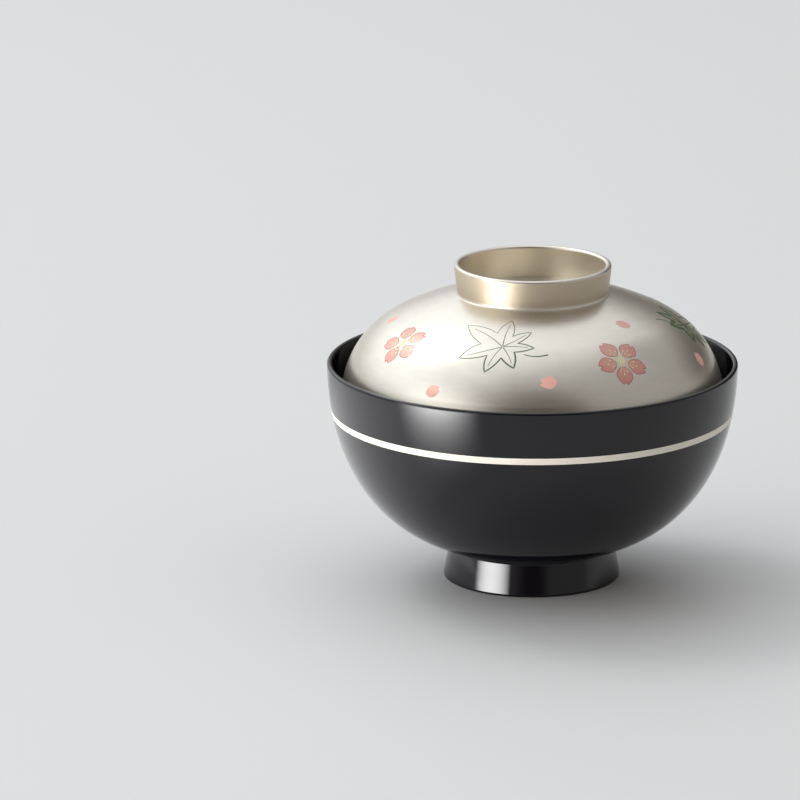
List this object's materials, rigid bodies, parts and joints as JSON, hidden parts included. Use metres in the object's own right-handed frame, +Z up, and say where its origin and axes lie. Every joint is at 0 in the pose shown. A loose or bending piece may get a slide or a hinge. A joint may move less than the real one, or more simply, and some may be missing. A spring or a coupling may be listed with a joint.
{
  "type": "covered soup bowl",
  "caption": "Round lacquer soup bowl on a foot ring, with a domed lid that drops inside the rim and lifts off by the ring on its top.",
  "frame": {"origin": "centre of the foot ring, on the surface that the bowl stands on", "axes": "+Z up along the axis of the bowl and the lid; the picture looks along +Y, with +X to the right"},
  "size_m": [0.122, 0.122, 0.0954],
  "materials": {
    "black_lacquer": "polished black lacquer over a turned core",
    "silver_lacquer": "satin lacquer with warm silver powder"
  },
  "bodies": {
    "bowl": {"bowl_body": "black_lacquer", "silver_band": "silver_lacquer"},
    "lid": {"lid_body": "black_lacquer", "lid_silver_coat": "silver_lacquer"}
  },
  "joints": [
    {"name": "lid_lift", "type": "slide", "parent": "bowl", "child": "lid", "axis": [0, 0, 1], "range_m": [0, 0.06]}
  ]
}
